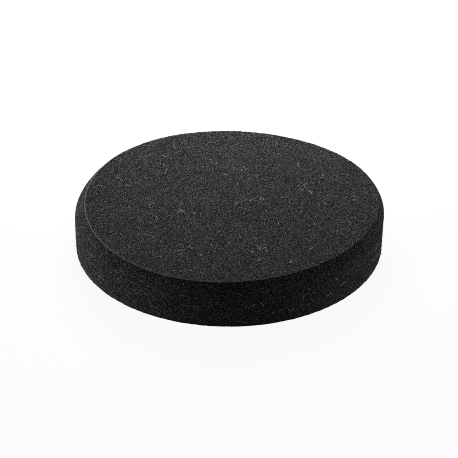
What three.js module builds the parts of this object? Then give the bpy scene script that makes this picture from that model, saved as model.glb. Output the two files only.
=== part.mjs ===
// Foam finishing pad for a 150 mm hook-and-loop polisher plate.
// Millimetres, +Z up. The origin is the centre of the underside: the pad stands on its loop pile,
// and its foam working face is uppermost and level.
import * as THREE from 'three';

// Foam disc
const PAD_DIAMETER = 150;
const FACE_DIAMETER = 142.5;    // flat working face, inside the rim
const BACK_DIAMETER = 149.8;    // the wall draws in a little towards the glued back
const FOAM_THICKNESS = 20;
const SHOULDER_DEPTH = 6.5;     // from the working face down to where the wall is widest

// Laminated back, cut through in one stroke with the foam
const FILM_THICKNESS = 0.25;
const CLOTH_THICKNESS = 0.75;
const PILE_HEIGHT = 1.25;
const FILM_DIAMETER = 149.4;
const CLOTH_DIAMETER = 149.6;
const PILE_DIAMETER = 149.6;

const TURN_SEGMENTS = 128;
const SHOULDER_SEGMENTS = 8;

// Heights of the faces where one layer meets the next
const CLOTH_BOTTOM = PILE_HEIGHT;
const FILM_BOTTOM = CLOTH_BOTTOM + CLOTH_THICKNESS;
const FOAM_BOTTOM = FILM_BOTTOM + FILM_THICKNESS;
const FOAM_TOP = FOAM_BOTTOM + FOAM_THICKNESS;

function material(color, roughness) {
  return new THREE.MeshStandardMaterial({ color, roughness, metalness: 0 });
}

const foamBlack = material(0x1f1f21, 0.95);
const filmGrey = material(0x2b2b2c, 0.5);
const clothBlack = material(0x18181a, 0.9);
const pileBlack = material(0x232326, 1);

// Turns a half section, given as radius and height from the axis and back to it, about +Z.
function turned(name, section, surface) {
  const geometry = new THREE.LatheGeometry(section, TURN_SEGMENTS);
  geometry.rotateX(Math.PI / 2);
  const mesh = new THREE.Mesh(geometry, surface);
  mesh.name = name;
  return mesh;
}

// A layer of even thickness with a square-cut edge.
function layer(name, diameter, bottom, thickness, surface) {
  const radius = diameter / 2;
  const top = bottom + thickness;
  const section = [
    new THREE.Vector2(0, bottom),
    new THREE.Vector2(radius, bottom),
    new THREE.Vector2(radius, top),
    new THREE.Vector2(0, top),
  ];
  return turned(name, section, surface);
}

// The foam: a near-upright wall, a shoulder that curves in from it, and a sharp rim at the face.
function foamDisc() {
  const wide = PAD_DIAMETER / 2;
  const shoulderBottom = FOAM_TOP - SHOULDER_DEPTH;
  const shoulder = new THREE.QuadraticBezierCurve(
    new THREE.Vector2(wide, shoulderBottom),
    new THREE.Vector2(wide, FOAM_TOP - SHOULDER_DEPTH / 2),
    new THREE.Vector2(FACE_DIAMETER / 2, FOAM_TOP),
  );
  const section = [
    new THREE.Vector2(0, FOAM_BOTTOM),
    new THREE.Vector2(BACK_DIAMETER / 2, FOAM_BOTTOM),
    ...shoulder.getPoints(SHOULDER_SEGMENTS),
    new THREE.Vector2(0, FOAM_TOP),
  ];
  return turned('foam_disc', section, foamBlack);
}

const pad = new THREE.Group();
pad.add(
  foamDisc(),
  layer('adhesive_film', FILM_DIAMETER, FILM_BOTTOM, FILM_THICKNESS, filmGrey),
  layer('backing_cloth', CLOTH_DIAMETER, CLOTH_BOTTOM, CLOTH_THICKNESS, clothBlack),
  layer('loop_pile', PILE_DIAMETER, 0, PILE_HEIGHT, pileBlack),
);

export default pad;
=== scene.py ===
"""Looks for a foam finishing pad with a loop backing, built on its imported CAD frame.

Metres, +Z up. The pad stands on its loop pile with the foam working face up, and the camera
looks along +Y. The layers' heights and widths are read from the frame.
"""

import itertools
import math

import bpy
import numpy as np
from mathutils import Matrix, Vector


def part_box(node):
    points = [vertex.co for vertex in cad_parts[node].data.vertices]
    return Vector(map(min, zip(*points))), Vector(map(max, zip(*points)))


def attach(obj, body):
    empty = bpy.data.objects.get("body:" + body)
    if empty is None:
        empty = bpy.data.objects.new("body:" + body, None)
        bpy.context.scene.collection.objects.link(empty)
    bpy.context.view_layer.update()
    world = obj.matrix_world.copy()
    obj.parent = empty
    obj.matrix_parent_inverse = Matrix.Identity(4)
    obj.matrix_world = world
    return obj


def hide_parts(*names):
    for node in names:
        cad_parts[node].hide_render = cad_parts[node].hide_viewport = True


MM = 0.001
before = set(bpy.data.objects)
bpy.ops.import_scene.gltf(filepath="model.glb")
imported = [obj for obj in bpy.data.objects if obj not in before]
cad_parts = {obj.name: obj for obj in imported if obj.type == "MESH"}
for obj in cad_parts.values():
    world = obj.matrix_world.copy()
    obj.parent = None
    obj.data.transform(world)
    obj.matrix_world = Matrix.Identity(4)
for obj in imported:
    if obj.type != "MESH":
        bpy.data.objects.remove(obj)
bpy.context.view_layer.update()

# Heights and radii of the layers, from the frame
FOAM_LOW, FOAM_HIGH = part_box("foam_disc")
FILM_LOW, FILM_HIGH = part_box("adhesive_film")
CLOTH_LOW, CLOTH_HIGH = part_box("backing_cloth")
PILE_LOW, PILE_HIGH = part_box("loop_pile")
FACE_Z = FOAM_HIGH.z
WALL_RADIUS = FOAM_HIGH.x

# Foam shape
RIM_INSET = 3.75 * MM        # from the widest part of the wall in to the rim
SHOULDER_DEPTH = 6.5 * MM    # from the face down to the widest part
FOOT_INSET = 0.1 * MM        # the wall draws in to the glued back
RIM_LOBE = 1.2 * MM          # how far the trimmed rim wanders from round
WALL_LOBE = 0.4 * MM
RIM_OFFSET = 0.5 * MM        # the face was cut a little off centre, towards +X
LOBES = 3
RIM_TURN = math.radians(12)
WALL_TURN = math.radians(24)
LIP_HEIGHT = 0.2 * MM        # the cut leaves the rim slightly proud
LIP_RAGGED = 0.6             # and uneven, by this share of its height
WORN_AND_LIT_SIDE = math.radians(195)       # where the rim is palest: its fluff, with a painted highlight on the side the light falls from
CREASE_DEPTH = 0.22 * MM     # faint line where the shoulder's cut meets the wall
CREASE_PATCH = 16 * MM       # it fades in and out over about this length
WALL_HEIGHT = FACE_Z - SHOULDER_DEPTH - FOAM_LOW.z
# Height and width of the slow waves in the cut foam
SWELLS = [(0.03 * MM, 1.7 * MM), (0.07 * MM, 6 * MM), (0.16 * MM, 32 * MM)]

# Foam mesh: a square grid drawn out to a disc for the face, and rows down the side
FACE_CELLS = 232
SHOULDER_ROWS = 16
WALL_ROWS = 24
CREASE_ROWS = 1.6            # the crease fades out over this many rows
RIM_BAND = 0.45              # the ring next to the rim lies this share of a cell inside it
RIM_SLANT = 0.7              # the rim's relief stands out and up alike
RIM_TILT = math.pi / 3       # relief on the shoulder leans up by this much next to the rim
RIM_HOLD = 0.7               # the rim's points slip sideways this much less than the rest

# Foam cells
CELL = 0.5 * MM
SPECK = 0.24 * MM            # width of one torn strut
SPECK_POWER = 5.0            # higher leaves fewer bright struts
GRAIN_HEIGHT = 0.06 * MM     # torn cells stand this far above or below the cut
GRAIN_SLIP = 0.12 * MM
PIT_DEPTH = 0.3 * MM
PIT_SHARE = 0.02

# Foam colours, which drift into each other over the pad, and tones that multiply them, painted shade
# and a painted highlight among them
FOAM_WARM = (0.0280, 0.0275, 0.0268)
FOAM_COOL = (0.0270, 0.0270, 0.0298)
SHOULDER_SHADE = 0.78         # painted shade: the shoulder is darkened, most next to the rim
# painted shade in the crease where the shoulder meets the wall
CREASE_SHADE = 0.55
# painted highlight along the rim, over its paler fluff
RIM_WEAR_AND_HIGHLIGHT_TONE = 6.0

# Colours of the back and the lint
FILM_BLACK = (0.012, 0.012, 0.012)
KNIT_BLACK = (0.011, 0.011, 0.012)
LOOP_BLACK = (0.010, 0.010, 0.011)
LINT_GREY = (0.62, 0.61, 0.65)
WALE_SCALE = 105.0           # ribs of the knit, as the wave texture counts them
COURSE_SCALE = 160.0

# Lint
LINT_RADIUS = 0.06 * MM
LINT_LENGTH = (1.5 * MM, 9 * MM)
LINT_STEPS = 14
LINT_CLEARANCE = 0.17 * MM   # how high a fibre lies over the foam's swell
LINT_LIFT = 0.03 * MM        # and how much that varies
LINT_THICKNESS = (0.5, 1.2)  # shares of the radius
FIBRE_BEND = 0.12            # steady turn at each step, in radians, and its wandering
FIBRE_KINK = 0.28
FACE_LINT = 80
SIDE_LINT = 130
SIDE_LINT_FOOT = 2 * MM      # side fibres start at least this far above the pile
# Where dust has gathered, in shares of the face's radius
TUFTS = [(0.19, 0.0), (0.06, -0.08), (-0.28, -0.19), (-0.52, -0.01), (-0.72, 0.23),
         (-0.42, 0.6), (-0.28, -0.6), (0.1, 0.38), (0.49, 0.14), (0.21, -0.65),
         (0.86, 0.02), (0.8, -0.3), (-0.93, 0.22)]
TUFT_FIBRES = 7
TUFT_REACH = 3.5 * MM

# Loop pile and the other layers of the back
CURL_COUNT = 5000
CURL_RADIUS = 0.07 * MM
CURL_STEPS = 6
CURL_WIDTH = (0.35 * MM, 0.65 * MM)
CURL_LEAN = 0.25 * MM
CURL_DROP = (0.75, 0.96)     # how far down a loop hangs, in shares of the pile's height
MAT_LIFT = 0.02 * MM         # the mat of roots stays this far off the ground
HOLLOW_SIZE = 1.1 * MM       # across the hollows in a layer's lower face
WAVER_SIZE = 1.3 * MM        # along the waves in its cut edge
LOOP_SPLAY = 0.1 * MM        # loops at the cut edge lean out past the knit

# Camera
CAMERA_DISTANCE = 0.75
CAMERA_ELEVATION = math.radians(30.6)
CAMERA_DIP = math.radians(1.08)      # how far below the face's centre it aims
CAMERA_LENS_MM = 121.5
SENSOR_MM = 36

# Studio: the floor and the surround look pale to the camera, and light the pad only a little
FLOOR_HALF = 3.0
FLOOR_GREY = (0.06, 0.06, 0.06)
FLOOR_LOOK = 0.93
FLOOR_LIGHT = 0.03
WORLD_LOOK = 0.98
WORLD_LIGHT = 0.06
PIXEL_FILTER = 1.0           # in pixels, narrow enough to keep the foam's grain
WHITE = (1.0, 1.0, 1.0)
WARM = (1.0, 0.97, 0.96)
COOL = (0.97, 0.96, 1.0)
SIDE_BOX = (0.3, 0.15)
# A strip close behind and above, and soft boxes low down that model the wall:
# name, place, size, watts and colour
LIGHTS = [
    ("back_strip", (0.0, 0.24, 0.22), (0.26, 0.08), 1.6, WHITE),
    ("left_low", (-0.8, 0.12, 0.09), SIDE_BOX, 5.5, WARM),
    ("right_low", (0.8, 0.12, 0.09), SIDE_BOX, 3.1, COOL),
    ("left_rear", (-0.6, 0.55, 0.11), SIDE_BOX, 3.0, WARM),
    ("right_rear", (0.6, 0.55, 0.11), SIDE_BOX, 1.3, COOL),
    ("left_front", (-0.65, -0.4, 0.11), SIDE_BOX, 1.0, WARM),
    ("front_fill", (0.0, -0.75, 0.3), SIDE_BOX, 0.38, WHITE),
    ("right_front", (0.65, -0.4, 0.11), SIDE_BOX, 0.35, COOL),
]

LATTICE_SIDE = 48
LATTICE = np.random.default_rng(11).uniform(-1, 1, (LATTICE_SIDE,) * 3)


# ---------------------------------------------------------------- mesh helpers


def smooth_noise(points, size):
    """Noise from -1 to 1 at each point, changing over about that size."""
    cell = points / size
    base = np.floor(cell).astype(int)
    part = cell - base
    part = part * part * (3 - 2 * part)
    total = np.zeros(len(points))
    for corner in itertools.product((0, 1), repeat=3):
        index = (base + corner) % LATTICE_SIDE
        weight = np.prod(np.where(corner, part, 1 - part), axis=1)
        total += weight * LATTICE[tuple(index.T)]
    return total


def mesh_object(name, points, faces, material):
    """A smooth-shaded mesh that rides on the pad."""
    mesh = bpy.data.meshes.new(name)
    mesh.from_pydata([tuple(p) for p in points], [], faces)
    mesh.polygons.foreach_set("use_smooth", [True] * len(mesh.polygons))
    mesh.materials.append(material)
    made = bpy.data.objects.new(name, mesh)
    bpy.context.scene.collection.objects.link(made)
    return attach(made, "root")


def paint(made, name, values):
    """Stores a number for each point, for the material to read."""
    layer = made.data.attributes.new(name, "FLOAT", "POINT")
    layer.data.foreach_set("value", np.asarray(values, np.float32))


def disc_grid(cells):
    """A square grid of points drawn out to the unit disc, row by row."""
    line = np.linspace(-1, 1, cells + 1)
    x, y = np.meshgrid(line, line)
    wide = np.abs(x) > np.abs(y)
    reach = np.where(wide, x, y)
    across = np.where(wide, y, x)
    safe = np.where(reach == 0, 1, reach)
    angle = math.pi / 4 * across / safe
    angle = np.where(wide, angle, math.pi / 2 - angle)
    return np.stack([reach * np.cos(angle), reach * np.sin(angle)], axis=-1)


def grid_edge(cells):
    """Indices of a grid's border points, anticlockwise from the bottom left corner."""
    side = cells + 1
    bottom = [i for i in range(cells)]
    right = [cells + i * side for i in range(cells)]
    top = [side * side - 1 - i for i in range(cells)]
    left = [(cells - i) * side for i in range(cells)]
    return bottom + right + top + left


def grid_faces(cells):
    """Quads between a grid's points, facing up."""
    side = cells + 1
    return [
        (r * side + c, r * side + c + 1, (r + 1) * side + c + 1, (r + 1) * side + c)
        for r in range(cells)
        for c in range(cells)
    ]


def ring_faces(upper, lower):
    """Quads between two rings of indices that run anticlockwise, facing outwards."""
    count = len(upper)
    return [
        (upper[i], lower[i], lower[(i + 1) % count], upper[(i + 1) % count])
        for i in range(count)
    ]


def tubes(paths, across, radius):
    """Three-sided closed tubes along paths of shape (tubes, steps, 3).

    across is a direction for each step that is square to its path, and radius is one number
    for each step. Returns the points and faces.
    """
    count, steps, _ = paths.shape
    along = np.gradient(paths, axis=1)
    along /= np.linalg.norm(along, axis=2, keepdims=True)
    third = np.cross(along, across)
    rings = []
    for side in range(3):
        turn = 2 * math.pi * side / 3
        rings.append(paths + radius[..., None] * (math.cos(turn) * across + math.sin(turn) * third))
    points = np.stack(rings, axis=2).reshape(-1, 3)
    faces = []
    for tube in range(count):
        first = tube * steps * 3
        last = first + (steps - 1) * 3
        faces.append((first, first + 2, first + 1))
        faces.append((last, last + 1, last + 2))
        for step in range(steps - 1):
            low = first + step * 3
            for side in range(3):
                other = (side + 1) % 3
                faces.append((low + side, low + other, low + 3 + other, low + 3 + side))
    return points, faces


# ---------------------------------------------------------------- materials


class Shader:
    """One material's node tree, with short calls to fill it."""

    def __init__(self, name):
        self.material = bpy.data.materials.new(name)
        self.material.use_nodes = True
        self.tree = self.material.node_tree
        self.surface = self.tree.nodes["Principled BSDF"]

    def node(self, kind, inputs=(), **settings):
        made = self.tree.nodes.new("ShaderNode" + kind)
        for name, value in settings.items():
            setattr(made, name, value)
        for socket, value in dict(inputs).items():
            self.put(made.inputs[socket], value)
        return made

    def put(self, socket, value):
        if isinstance(value, bpy.types.NodeSocket):
            self.tree.links.new(value, socket)
        else:
            socket.default_value = value

    def place(self):
        return self.node("TexCoord").outputs["Object"]

    def painted(self, name):
        return self.node("Attribute", attribute_name=name).outputs["Fac"]

    def math(self, operation, a, b=0.0):
        return self.node("Math", {0: a, 1: b}, operation=operation).outputs[0]

    def spread(self, value, low, high, out_low, out_high):
        """The value's range from low to high becomes out_low to out_high, with the ends held."""
        sockets = {"Value": value, "From Min": low, "From Max": high,
                   "To Min": out_low, "To Max": out_high}
        return self.node("MapRange", sockets).outputs["Result"]

    def noise(self, size, detail=2.0):
        sockets = {"Vector": self.place(), "Scale": 1 / size, "Detail": detail}
        return self.node("TexNoise", sockets).outputs["Fac"]

    def cells(self, size, feature, output):
        sockets = {"Vector": self.place(), "Scale": 1 / size}
        return self.node("TexVoronoi", sockets, feature=feature).outputs[output]

    def ribs(self, direction, scale, distortion):
        """Uneven parallel ribs across one direction."""
        sockets = {"Vector": self.place(), "Scale": scale, "Distortion": distortion,
                   "Detail": 2.0, "Detail Scale": 3.0}
        return self.node("TexWave", sockets, bands_direction=direction).outputs["Fac"]

    def random_by_cell(self, size):
        """A number from 0 to 1 that is the same all over each cell."""
        color = self.cells(size, "F1", "Color")
        return self.node("SeparateColor", {"Color": color}).outputs["Red"]

    def specks(self, low, high):
        """A tone for each torn strut: mostly near low, with a few towards high."""
        each = self.math("POWER", self.random_by_cell(SPECK), SPECK_POWER)
        return self.spread(each, 0, 1, low, high)

    def blend(self, share, a, b):
        return self.node("Mix", {"Factor": share, "A": a, "B": b}).outputs["Result"]

    def tint(self, tone, color):
        """A colour made brighter or darker by tone."""
        scaled = self.node("VectorMath", {0: color, "Scale": tone}, operation="SCALE")
        return scaled.outputs["Vector"]

    def drift(self, share, a, b):
        """A colour part of the way from a to b."""
        sockets = {"Factor": share, 6: (*a, 1), 7: (*b, 1)}
        return self.node("Mix", sockets, data_type="RGBA").outputs[2]

    def bump(self, height, depth, strength=1.0, under=None):
        sockets = {"Height": height, "Distance": depth, "Strength": strength}
        if under is not None:
            sockets["Normal"] = under
        return self.node("Bump", sockets).outputs["Normal"]

    def set(self, **sockets):
        for name, value in sockets.items():
            self.put(self.surface.inputs[name.replace("_", " ")], value)


def foam_material():
    """Cut open-cell foam: painted shade in the pores and painted highlight on the struts, painted
    shade on the shoulder and in the crease, and a paler rim whose fluff carries a painted highlight.
    """
    s = Shader("black_open_cell_foam")
    each_cell = s.random_by_cell(CELL)
    cell_tone = s.spread(each_cell, 0, 1, 0.88, 1.12)
    speck_tone = s.specks(0.2, 5.0)
    # painted shade in the middle of each pore and painted highlight on the struts around it
    strut = s.spread(s.cells(CELL, "DISTANCE_TO_EDGE", "Distance"), 0, 0.22, 1, 0)
    pore_shade_strut_highlight = s.spread(strut, 0, 1, 0.75, 1.45)
    tone = s.math("MULTIPLY", s.math("MULTIPLY", cell_tone, speck_tone), pore_shade_strut_highlight)
    patches = s.spread(s.noise(14 * MM, 3), 0.3, 0.7, 0.92, 1.08)
    tone = s.math("MULTIPLY", tone, patches)
    # painted shade on the shoulder, darkest next to the rim
    tone = s.math("MULTIPLY", tone, s.spread(s.painted("shoulder"), 0, 1, 1.0, SHOULDER_SHADE))
    # painted shade in the crease
    tone = s.math("MULTIPLY", tone, s.spread(s.painted("crease"), 0, 1, 1.0, CREASE_SHADE))
    # the rim's fluff, lightened further by a painted highlight, strongest on the lit side
    tone = s.blend(s.painted("rim"), tone, RIM_WEAR_AND_HIGHLIGHT_TONE)
    pore = s.cells(CELL, "F1", "Distance")
    fine = s.noise(0.25 * MM, 3)
    normal = s.bump(pore, 0.35 * MM, 0.7)
    normal = s.bump(fine, 0.12 * MM, 0.6, normal)
    dust = s.spread(s.noise(18 * MM, 2), 0.35, 0.65, 0, 1)
    color = s.drift(dust, FOAM_WARM, FOAM_COOL)
    s.set(Base_Color=s.tint(tone, color), Roughness=0.95, Normal=normal)
    s.surface.inputs["Specular IOR Level"].default_value = 0.02
    s.surface.inputs["Sheen Weight"].default_value = 0.03
    s.surface.inputs["Sheen Roughness"].default_value = 0.3
    return s.material


def film_material():
    """Lamination film, seen only as a thin uneven line of set adhesive at the cut edge."""
    s = Shader("lamination_film")
    beads = s.noise(0.8 * MM, 3)
    tone = s.spread(beads, 0.3, 0.7, 0.6, 1.5)
    s.set(Base_Color=s.tint(tone, FILM_BLACK), Normal=s.bump(beads, 0.2 * MM, 0.6))
    s.set(Roughness=s.spread(beads, 0.3, 0.7, 0.5, 0.75))
    s.surface.inputs["Specular IOR Level"].default_value = 0.25
    return s.material


def knit_material():
    """Warp-knitted ground of the loop cloth: fine wales with a slight sheen."""
    s = Shader("black_warp_knit")
    wale = s.ribs("X", WALE_SCALE, 1.2)
    course = s.ribs("Y", COURSE_SCALE, 1.5)
    stitch = s.math("MULTIPLY", wale, course)
    tone = s.math("MULTIPLY", s.spread(stitch, 0, 1, 0.5, 1.8), s.specks(0.4, 7.0))
    s.set(Base_Color=s.tint(tone, KNIT_BLACK), Roughness=0.8)
    s.set(Normal=s.bump(stitch, 0.2 * MM, 0.9))
    s.surface.inputs["Specular IOR Level"].default_value = 0.2
    s.surface.inputs["Sheen Weight"].default_value = 0.03
    return s.material


def pile_material():
    """Brushed polyamide loops: soft black with a slight sheen, each clump a little different."""
    s = Shader("black_brushed_loops")
    clump = s.noise(1.5 * MM, 3)
    strand = s.noise(0.18 * MM, 2)
    tone = s.math("MULTIPLY", s.spread(clump, 0.3, 0.7, 0.6, 1.4), s.specks(0.4, 7.0))
    s.set(Base_Color=s.tint(tone, LOOP_BLACK), Roughness=0.85)
    s.set(Normal=s.bump(strand, 0.12 * MM, 0.8))
    s.surface.inputs["Specular IOR Level"].default_value = 0.2
    s.surface.inputs["Sheen Weight"].default_value = 0.03
    return s.material


def lint_material():
    """Pale dust fibres, a few of them greyer than others."""
    s = Shader("pale_lint")
    tone = s.spread(s.noise(6 * MM, 1), 0.35, 0.65, 0.3, 1.0)
    s.set(Base_Color=s.tint(tone, LINT_GREY), Roughness=0.9)
    return s.material


def seen_and_lit(tree, socket, look, light):
    """Sets a strength to one number for what the camera sees and another for what it lights."""
    seen = tree.nodes.new("ShaderNodeLightPath").outputs["Is Camera Ray"]
    strength = tree.nodes.new("ShaderNodeMapRange")
    tree.links.new(seen, strength.inputs["Value"])
    strength.inputs["To Min"].default_value = light
    strength.inputs["To Max"].default_value = look
    tree.links.new(strength.outputs["Result"], socket)


def floor_material():
    """A white product table that throws little light back up."""
    s = Shader("pale_table")
    tone = s.spread(s.noise(0.4, 2), 0.3, 0.7, 0.98, 1.02)
    s.set(Base_Color=s.tint(tone, FLOOR_GREY), Roughness=0.9)
    s.surface.inputs["Emission Color"].default_value = (1, 1, 1, 1)
    s.surface.inputs["Specular IOR Level"].default_value = 0.0
    seen_and_lit(s.tree, s.surface.inputs["Emission Strength"], FLOOR_LOOK, FLOOR_LIGHT)
    return s.material


# ---------------------------------------------------------------- the foam


def rim_wander(angle):
    """How far out of round the rim is at an angle about the axis."""
    return RIM_LOBE * np.cos(LOBES * (angle - RIM_TURN)) + RIM_OFFSET * np.cos(angle)


def wall_wander(angle):
    """How far out of round the wall is at an angle about the axis."""
    return WALL_LOBE * np.cos(LOBES * (angle - WALL_TURN))


def swell(points):
    """How far the foam stands out at each point, in slow waves of three sizes."""
    height = np.zeros(len(points))
    for index, (rise, size) in enumerate(SWELLS):
        height += rise * smooth_noise(points + index, size)
    return height


def foam_face(unit, edge):
    """Points of the flat face and the directions that their relief stands out in."""
    angle = np.arctan2(unit[:, 1], unit[:, 0])
    share = np.linalg.norm(unit, axis=1)
    ring_gap = 2 / FACE_CELLS
    rings_in = np.round((1 - share) / ring_gap)
    share = np.where(rings_in == 1, 1 - RIM_BAND * ring_gap, share)
    rim_radius = WALL_RADIUS - RIM_INSET + rim_wander(angle) * share ** 3
    across = np.column_stack([np.cos(angle), np.sin(angle)])
    points = np.column_stack([across * (share * rim_radius)[:, None], np.full(len(unit), FACE_Z)])
    outward = np.zeros_like(points)
    outward[:, 2] = 1
    outward[edge, 2] = RIM_SLANT
    outward[edge, :2] = RIM_SLANT * unit[edge]
    return points, outward


def side_ring(row, angle):
    """Radius at each angle, and height, of one row of the shoulder or the wall."""
    if row <= SHOULDER_ROWS:
        part = (row / SHOULDER_ROWS) ** 1.25
        inset = RIM_INSET * (1 - part) ** 2
        drop = SHOULDER_DEPTH * part
        out_of_round = rim_wander(angle) * (1 - part) + wall_wander(angle) * part
    else:
        part = (row - SHOULDER_ROWS) / WALL_ROWS
        inset = FOOT_INSET * part ** 2
        drop = SHOULDER_DEPTH + WALL_HEIGHT * part
        out_of_round = wall_wander(angle) * (1 - part)
    return WALL_RADIUS - inset + out_of_round, FACE_Z - drop


def foam_side(angle):
    """Rows down the side: points and outward directions, each point's crease, which sinks the foam and
    carries a painted shade, and its share of the painted shade on the shoulder.
    """
    across = np.column_stack([np.cos(angle), np.sin(angle)])
    points, normals, creases, shoulder_shades = [], [], [], []
    for row in range(1, SHOULDER_ROWS + WALL_ROWS + 1):
        radius, height = side_ring(row, angle)
        tilt = RIM_TILT * max(0.0, 1 - row / SHOULDER_ROWS)
        points.append(np.column_stack([across * radius[:, None], np.full(len(angle), height)]))
        normals.append(np.column_stack([across * math.cos(tilt), np.full(len(angle), math.sin(tilt))]))
        crease = max(0.0, 1 - abs(row - SHOULDER_ROWS) / CREASE_ROWS)
        creases.append(np.full(len(angle), crease))
        # share of the painted shade on the shoulder, most next to the rim
        shoulder = max(0.0, 1 - (row / SHOULDER_ROWS) ** 1.5)
        shoulder_shades.append(np.full(len(angle), shoulder))
    return np.vstack(points), np.vstack(normals), np.concatenate(creases), np.concatenate(shoulder_shades)


def foam_relief(points, normals, rim, crease):
    """Moves the points into torn cells, pits, slow swells, a proud rim and a crease."""
    rng = np.random.default_rng(3)
    height = rng.uniform(-1, 1, len(points)) * GRAIN_HEIGHT + swell(points)
    height -= PIT_DEPTH * (rng.uniform(0, 1, len(points)) < PIT_SHARE)
    height += rim * LIP_HEIGHT * (1 + rng.uniform(-LIP_RAGGED, LIP_RAGGED, len(points)))
    height -= crease * CREASE_DEPTH
    moved = points + normals * height[:, None]
    slip = rng.uniform(-1, 1, points.shape) * GRAIN_SLIP
    slip -= normals * np.sum(slip * normals, axis=1, keepdims=True)
    return moved + slip * (1 - RIM_HOLD * rim)[:, None]


def build_foam():
    unit = disc_grid(FACE_CELLS).reshape(-1, 2)
    edge = grid_edge(FACE_CELLS)
    face, outward = foam_face(unit, edge)
    edge_angle = np.arctan2(unit[edge, 1], unit[edge, 0])
    side, side_outward, side_crease, side_shoulder_shade = foam_side(edge_angle)
    points = np.vstack([face, side])
    normals = np.vstack([outward, side_outward])
    crease = np.concatenate([np.zeros(len(face)), side_crease])
    shoulder = np.concatenate([np.zeros(len(face)), side_shoulder_shade])
    rim = np.zeros(len(points))
    rim[edge] = 1
    crease *= 0.35 + 0.65 * np.clip(smooth_noise(points, CREASE_PATCH) + 0.5, 0, 1)
    points = foam_relief(points, normals, rim, crease)

    count = len(edge)
    starts = range(len(face), len(points), count)
    rings = [edge] + [list(range(start, start + count)) for start in starts]
    foot = rings[-1]
    points[foot, 2] = FOAM_LOW.z
    faces = grid_faces(FACE_CELLS)
    for upper, lower in zip(rings, rings[1:]):
        faces += ring_faces(upper, lower)
    middle = len(points)
    points = np.vstack([points, [[0, 0, FOAM_LOW.z]]])
    faces += [(foot[(i + 1) % count], foot[i], middle) for i in range(count)]

    turn = np.arctan2(points[:-1, 1], points[:-1, 0])
    # the rim's wear with a painted highlight, strongest on the lit side
    rim_wear_and_highlight = rim * np.clip(0.35 + 0.6 * np.cos(turn - WORN_AND_LIT_SIDE), 0, 1)
    foam = mesh_object("foam", points, faces, foam_material())
    paint(foam, "rim", np.append(rim_wear_and_highlight, 0))
    paint(foam, "crease", np.append(crease, 0))
    paint(foam, "shoulder", np.append(shoulder, 0))
    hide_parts("foam_disc")


# ---------------------------------------------------------------- the laminated back


def layer_disc(name, low, high, radius, waver, hollow, rows, cells, material, seed):
    """A thin closed disc whose cut edge wavers by waver and whose lower face has hollows."""
    unit = disc_grid(cells).reshape(-1, 2)
    edge = grid_edge(cells)
    angle = np.arctan2(unit[:, 1], unit[:, 0])[edge]
    share = np.linalg.norm(unit, axis=1)
    spot = np.column_stack([unit * radius, np.full(len(unit), seed * 0.1)])
    reach = radius + waver * smooth_noise(spot, WAVER_SIZE) * share ** 8
    flat = unit * reach[:, None]
    upper = np.column_stack([flat, np.full(len(unit), high)])
    rise = hollow * (smooth_noise(spot + 0.5, HOLLOW_SIZE) + 1) * (1 - share ** 12)
    rise[edge] = 0
    lower = np.column_stack([flat, low + rise])

    points = [upper]
    rings = [edge]
    across = np.column_stack([np.cos(angle), np.sin(angle)])
    for row in range(1, rows):
        spot = np.column_stack([across * radius, np.full(len(edge), row + seed)])
        bulge = radius + waver * smooth_noise(spot, WAVER_SIZE)
        height = high + (low - high) * (row / rows)
        ring = np.column_stack([across * bulge[:, None], np.full(len(edge), height)])
        start = sum(len(p) for p in points)
        rings.append(list(range(start, start + len(edge))))
        points.append(ring)
    start = sum(len(p) for p in points)
    points.append(lower)
    rings.append([start + i for i in edge])

    faces = []
    for quad in grid_faces(cells):
        faces.append(quad)
        faces.append(tuple(start + i for i in reversed(quad)))
    for a, b in zip(rings, rings[1:]):
        faces += ring_faces(a, b)
    return mesh_object(name, np.vstack(points), faces, material)


def build_film():
    film = layer_disc("lamination_film", FILM_LOW.z, FILM_HIGH.z, FILM_HIGH.x, waver=0.08 * MM,
                      hollow=0.0, rows=2, cells=100, material=film_material(), seed=1)
    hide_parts("adhesive_film")


def build_cloth():
    cloth = layer_disc("knitted_ground", CLOTH_LOW.z, CLOTH_HIGH.z, CLOTH_HIGH.x, waver=0.1 * MM,
                       hollow=0.06 * MM, rows=3, cells=150, material=knit_material(), seed=2)
    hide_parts("backing_cloth")


def build_pile_mat(material):
    """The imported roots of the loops, a felted mat whose lower face is hollowed between clumps."""
    mat = layer_disc("loop_roots", PILE_LOW.z + MAT_LIFT, PILE_HIGH.z, PILE_HIGH.x + LOOP_SPLAY,
                     waver=0.15 * MM, hollow=0.35 * MM, rows=3, cells=200, material=material, seed=3)
    return mat


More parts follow.
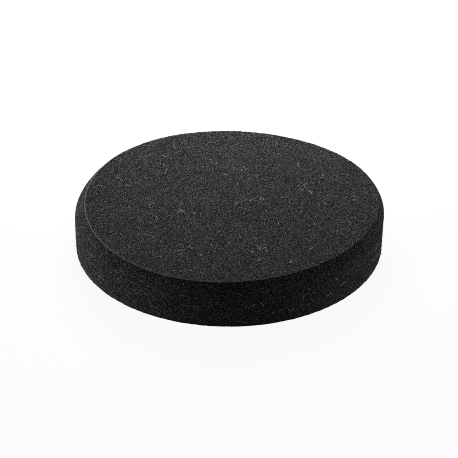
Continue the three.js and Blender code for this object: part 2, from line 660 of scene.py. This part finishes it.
def build_curls(material):
    """Separate loops that stand out of the roots, leaning every way, thicker set at the edge."""
    rng = np.random.default_rng(5)
    spread = np.sqrt(rng.uniform(0, 1, CURL_COUNT))
    at_edge = CURL_COUNT // 5
    spread[:at_edge] = rng.uniform(0.985, 1.0, at_edge)
    turn = rng.uniform(0, 2 * math.pi, CURL_COUNT)
    foot = np.column_stack([np.cos(turn), np.sin(turn), np.zeros(CURL_COUNT)])
    foot *= (spread * PILE_HIGH.x)[:, None]
    heading = rng.uniform(0, 2 * math.pi, CURL_COUNT)
    ahead = np.column_stack([np.cos(heading), np.sin(heading), np.zeros(CURL_COUNT)])
    lean = rng.uniform(-CURL_LEAN, CURL_LEAN, (CURL_COUNT, 1))
    beside = np.cross(ahead, [0, 0, 1])
    width = rng.uniform(*CURL_WIDTH, (CURL_COUNT, 1))
    drop = (PILE_HIGH.z - PILE_LOW.z) * rng.uniform(*CURL_DROP, (CURL_COUNT, 1))
    paths = []
    for step in range(CURL_STEPS + 1):
        swing = math.pi * step / CURL_STEPS
        point = foot - ahead * width * math.cos(swing) + beside * lean * math.sin(swing)
        point[:, 2] += PILE_HIGH.z - math.sin(swing) ** 0.8 * drop[:, 0]
        paths.append(point)
    paths = np.stack(paths, axis=1)
    across = np.repeat(beside[:, None, :], CURL_STEPS + 1, axis=1)
    radius = np.full(paths.shape[:2], CURL_RADIUS)
    points, faces = tubes(paths, across, radius)
    points[:, 2] = np.maximum(points[:, 2], PILE_LOW.z)
    curls = mesh_object("loop_curls", points, faces, material)


def build_pile():
    material = pile_material()
    mat = build_pile_mat(material)
    build_curls(material)
    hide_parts("loop_pile")


# ---------------------------------------------------------------- the lint


def wander(rng, start):
    """Curly lines on a flat plane, as points of shape (fibres, steps, 2)."""
    count = len(start)
    length = rng.uniform(*LINT_LENGTH, count) * rng.uniform(0.4, 1, count)
    heading = rng.uniform(0, 2 * math.pi, (count, 1))
    bend = rng.normal(0, FIBRE_BEND, (count, 1)) + rng.normal(0, FIBRE_KINK, (count, LINT_STEPS))
    heading = heading + np.cumsum(bend, axis=1)
    hop = (length / LINT_STEPS)[:, None]
    line = np.stack([hop * np.cos(heading), hop * np.sin(heading)], axis=2)
    return start[:, None, :] + np.cumsum(line, axis=1)


def face_lint(rng):
    """Fibres on the face: some anywhere, the rest in tufts. Returns paths and their normals."""
    face_radius = WALL_RADIUS - RIM_INSET
    turn = rng.uniform(0, 2 * math.pi, FACE_LINT)
    reach = np.sqrt(rng.uniform(0, 0.9, FACE_LINT)) * face_radius
    loose = np.column_stack([np.cos(turn), np.sin(turn)]) * reach[:, None]
    tufts = np.repeat(np.array(TUFTS) * face_radius, TUFT_FIBRES, axis=0)
    tufts = tufts + rng.normal(0, TUFT_REACH / 2, tufts.shape)
    flat = wander(rng, np.concatenate([loose, tufts]))
    level = np.full(flat.shape[:2] + (1,), FACE_Z)
    paths = np.concatenate([flat, level], axis=2)
    return paths, np.broadcast_to([0.0, 0.0, 1.0], paths.shape)


def side_lint(rng):
    """Fibres round the wall. Returns paths and their normals."""
    low, high = PILE_HIGH.z + SIDE_LINT_FOOT, FACE_Z - SHOULDER_DEPTH
    start = np.column_stack([
        rng.uniform(0, 2 * math.pi * WALL_RADIUS, SIDE_LINT),
        rng.uniform(low, high, SIDE_LINT),
    ])
    flat = wander(rng, start)
    angle = flat[..., 0] / WALL_RADIUS
    out = np.stack([np.cos(angle), np.sin(angle), np.zeros_like(angle)], axis=2)
    paths = out * (WALL_RADIUS + wall_wander(angle))[..., None]
    paths[..., 2] = np.clip(flat[..., 1], PILE_HIGH.z, high)
    return paths, out


def build_lint():
    """Dust fibres caught on the face and the side, each lying just over the foam's swell."""
    rng = np.random.default_rng(9)
    on_face, up = face_lint(rng)
    on_side, out = side_lint(rng)
    paths = np.concatenate([on_face, on_side])
    normals = np.concatenate([up, out])
    lift = swell(paths.reshape(-1, 3)).reshape(paths.shape[:2]) + LINT_CLEARANCE
    lift += LINT_LIFT * rng.uniform(-1, 1, lift.shape)
    paths = paths + normals * lift[..., None]
    radius = LINT_RADIUS * rng.uniform(*LINT_THICKNESS, (len(paths), 1)) * np.ones((1, LINT_STEPS))
    points, faces = tubes(paths, normals, radius)
    mesh_object("lint_fibres", points, faces, lint_material())


# ---------------------------------------------------------------- the studio


def build_floor():
    half = FLOOR_HALF
    corners = [(-half, -half, 0), (half, -half, 0), (half, half, 0), (-half, half, 0)]
    mesh = bpy.data.meshes.new("studio_floor")
    mesh.from_pydata(corners, [], [(0, 1, 2, 3)])
    mesh.materials.append(floor_material())
    floor = bpy.data.objects.new("studio_floor", mesh)
    bpy.context.scene.collection.objects.link(floor)


def build_world():
    """A pale surround that adds only a little light."""
    world = bpy.data.worlds.new("studio_air")
    world.use_nodes = True
    background = world.node_tree.nodes["Background"]
    background.inputs["Color"].default_value = (1, 1, 1, 1)
    seen_and_lit(world.node_tree, background.inputs["Strength"], WORLD_LOOK, WORLD_LIGHT)
    bpy.context.scene.world = world


def build_lights():
    middle = Vector((0, 0, FACE_Z / 2))
    for name, place, size, watts, color in LIGHTS:
        light = bpy.data.lights.new(name, "AREA")
        light.shape = "RECTANGLE"
        light.size, light.size_y = size
        light.energy = watts
        light.color = color
        made = bpy.data.objects.new(name, light)
        made.location = place
        made.rotation_euler = (middle - Vector(place)).to_track_quat("-Z", "Y").to_euler()
        bpy.context.scene.collection.objects.link(made)


def build_camera():
    camera = bpy.data.cameras.new("camera")
    camera.lens = CAMERA_LENS_MM
    camera.sensor_width = SENSOR_MM
    made = bpy.data.objects.new("camera", camera)
    back = Vector((0, -math.cos(CAMERA_ELEVATION), math.sin(CAMERA_ELEVATION)))
    made.location = Vector((0, 0, FACE_Z)) + back * CAMERA_DISTANCE
    made.rotation_euler = (math.pi / 2 - CAMERA_ELEVATION - CAMERA_DIP, 0, 0)
    bpy.context.scene.collection.objects.link(made)
    bpy.context.scene.camera = made


build_camera()
build_foam()
build_film()
build_cloth()
build_pile()
build_lint()
build_floor()
build_world()
build_lights()
bpy.context.scene.view_settings.view_transform = "Standard"
# The foam's grain is as fine as a pixel, so nothing may smooth it away
bpy.context.scene.cycles.use_denoising = False
bpy.context.scene.cycles.filter_width = PIXEL_FILTER
